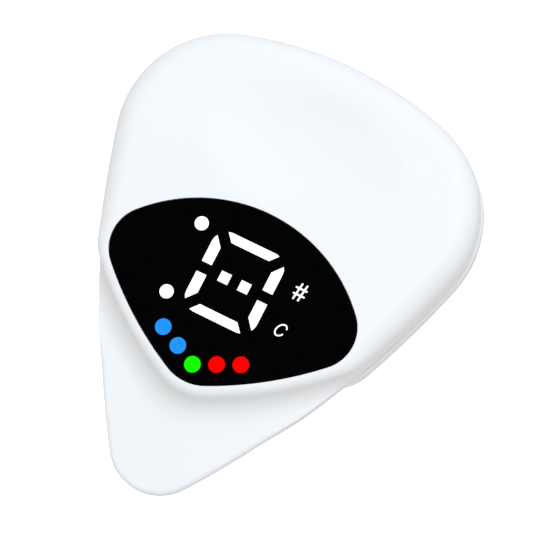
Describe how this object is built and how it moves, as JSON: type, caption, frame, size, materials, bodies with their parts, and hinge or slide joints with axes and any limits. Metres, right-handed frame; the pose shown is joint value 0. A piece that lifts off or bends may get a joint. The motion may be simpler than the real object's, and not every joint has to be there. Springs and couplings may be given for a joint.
{
  "type": "clip on tuner",
  "caption": "Pick-shaped clip-on instrument tuner: display housing with thumb dish, a tip plate as fixed jaw, and a sprung clip arm behind.",
  "frame": {"origin": "middle of the length and width, on the flat back of the clip arm, which rests on the table", "axes": "+Z out of the display, +Y from the jaw tip to the wide end, +X across the body"},
  "size_m": [0.0488, 0.0599, 0.0225],
  "materials": {
    "shell_white": "satin moulded ABS, soft gloss",
    "button_grey": "satin moulded key",
    "lens_black": "black-backed polished acrylic",
    "legend_white": "lit white legend",
    "legend_blue": "lit blue legend",
    "legend_green": "lit green legend",
    "legend_red": "lit red legend",
    "tape_black": "foam adhesive tape",
    "shield_white": "moulded reflector",
    "pad_rubber": "soft moulded rubber",
    "pin_steel": "ground steel pin",
    "spring_steel": "drawn spring wire",
    "screw_steel": "zinc-plated screw",
    "board_green": "solder-masked glass epoxy",
    "chip_black": "moulded epoxy package",
    "passive_tan": "ceramic chip parts",
    "led_resin": "phosphor-filled resin",
    "socket_steel": "drawn steel shell",
    "switch_cream": "moulded plunger",
    "cell_foil": "laminated foil pouch",
    "tab_nickel": "nickel strip",
    "tape_yellow": "double-sided tape",
    "sensor_brass": "plain brass disc",
    "sensor_ceramic": "silvered ceramic"
  },
  "bodies": {
    "housing": {"front_shell": "shell_white", "rear_cover": "shell_white", "fixed_jaw_pad": "pad_rubber", "hinge_pin": "pin_steel", "spring_cover_half": "spring_steel", "display_lens": "lens_black", "lens_tape": "tape_black", "digit_bars": "legend_white", "mode_dots": "legend_white", "sharp_mark": "legend_white", "mode_mark": "legend_white", "flat_dots": "legend_blue", "tune_dot": "legend_green", "sharp_dots": "legend_red", "light_shield": "shield_white", "digit_leds": "led_resin", "meter_leds": "led_resin", "main_board": "board_green", "controller_chip": "chip_black", "charge_chip": "chip_black", "board_passives": "passive_tan", "charging_socket": "socket_steel", "socket_tongue": "chip_black", "switch_body": "chip_black", "battery_cell": "cell_foil", "battery_tabs": "tab_nickel", "battery_tape": "tape_yellow", "sensor_disc": "sensor_brass", "sensor_ceramic": "sensor_ceramic", "sensor_contacts": "sensor_brass", "housing_screws": "screw_steel"},
    "clip": {"clip_arm": "shell_white", "moving_jaw_pad": "pad_rubber", "spring_arm_half": "spring_steel"},
    "button": {"power_button": "button_grey", "switch_plunger": "switch_cream"}
  },
  "joints": [
    {"name": "clip_hinge", "type": "hinge", "parent": "housing", "child": "clip", "pos_m": [0, 0.007, 0.0075], "axis": [1, 0, 0], "range_deg": [0, 28], "stiffness_Nm_per_rad": 0.15, "springref_deg": -45.84},
    {"name": "button_press", "type": "slide", "parent": "housing", "child": "button", "axis": [0.1994, -0.9799, 0], "range_m": [0, 0.0003], "stiffness_N_per_m": 1500}
  ]
}
